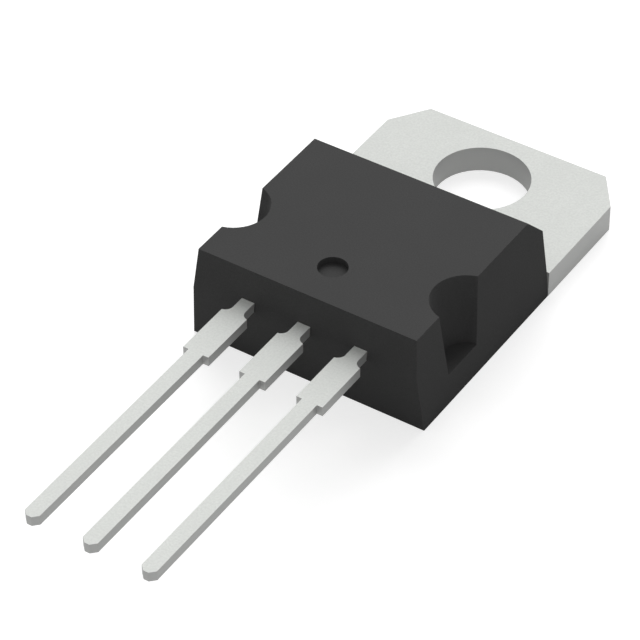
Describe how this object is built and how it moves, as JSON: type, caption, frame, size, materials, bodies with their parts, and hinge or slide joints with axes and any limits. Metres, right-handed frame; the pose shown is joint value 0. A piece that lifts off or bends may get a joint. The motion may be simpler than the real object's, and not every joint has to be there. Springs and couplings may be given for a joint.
{
  "type": "insulated-gate bipolar transistor",
  "caption": "Power transistor: a drafted, charcoal moulded body on a tin-plated copper tab with a screw hole, and straight flat leads in a row for gate, collector and emitter.",
  "frame": {"origin": "centre of the mounting hole on the mounting face of the tab", "axes": "+Z out of the mounting face towards the marked face, +Y towards the end of the tab, leads run towards -Y, +X towards the emitter lead"},
  "size_m": [0.0106, 0.0299, 0.0044],
  "materials": {
    "mould_compound": "matte, fine-grained epoxy moulding compound, charcoal",
    "tinned_copper": "matte tin plating over stamped copper, very fine grain",
    "solder": "dull soft-solder film",
    "silicon": "polished dark grey silicon",
    "bond_aluminium": "bright drawn wire"
  },
  "bodies": {
    "root": {"molded_body": "mould_compound", "collector_frame": "tinned_copper", "gate_lead": "tinned_copper", "emitter_lead": "tinned_copper", "die_attach_solder": "solder", "igbt_die": "silicon", "gate_bond_wire": "bond_aluminium", "emitter_bond_wire_1": "bond_aluminium", "emitter_bond_wire_2": "bond_aluminium"}
  },
  "joints": []
}
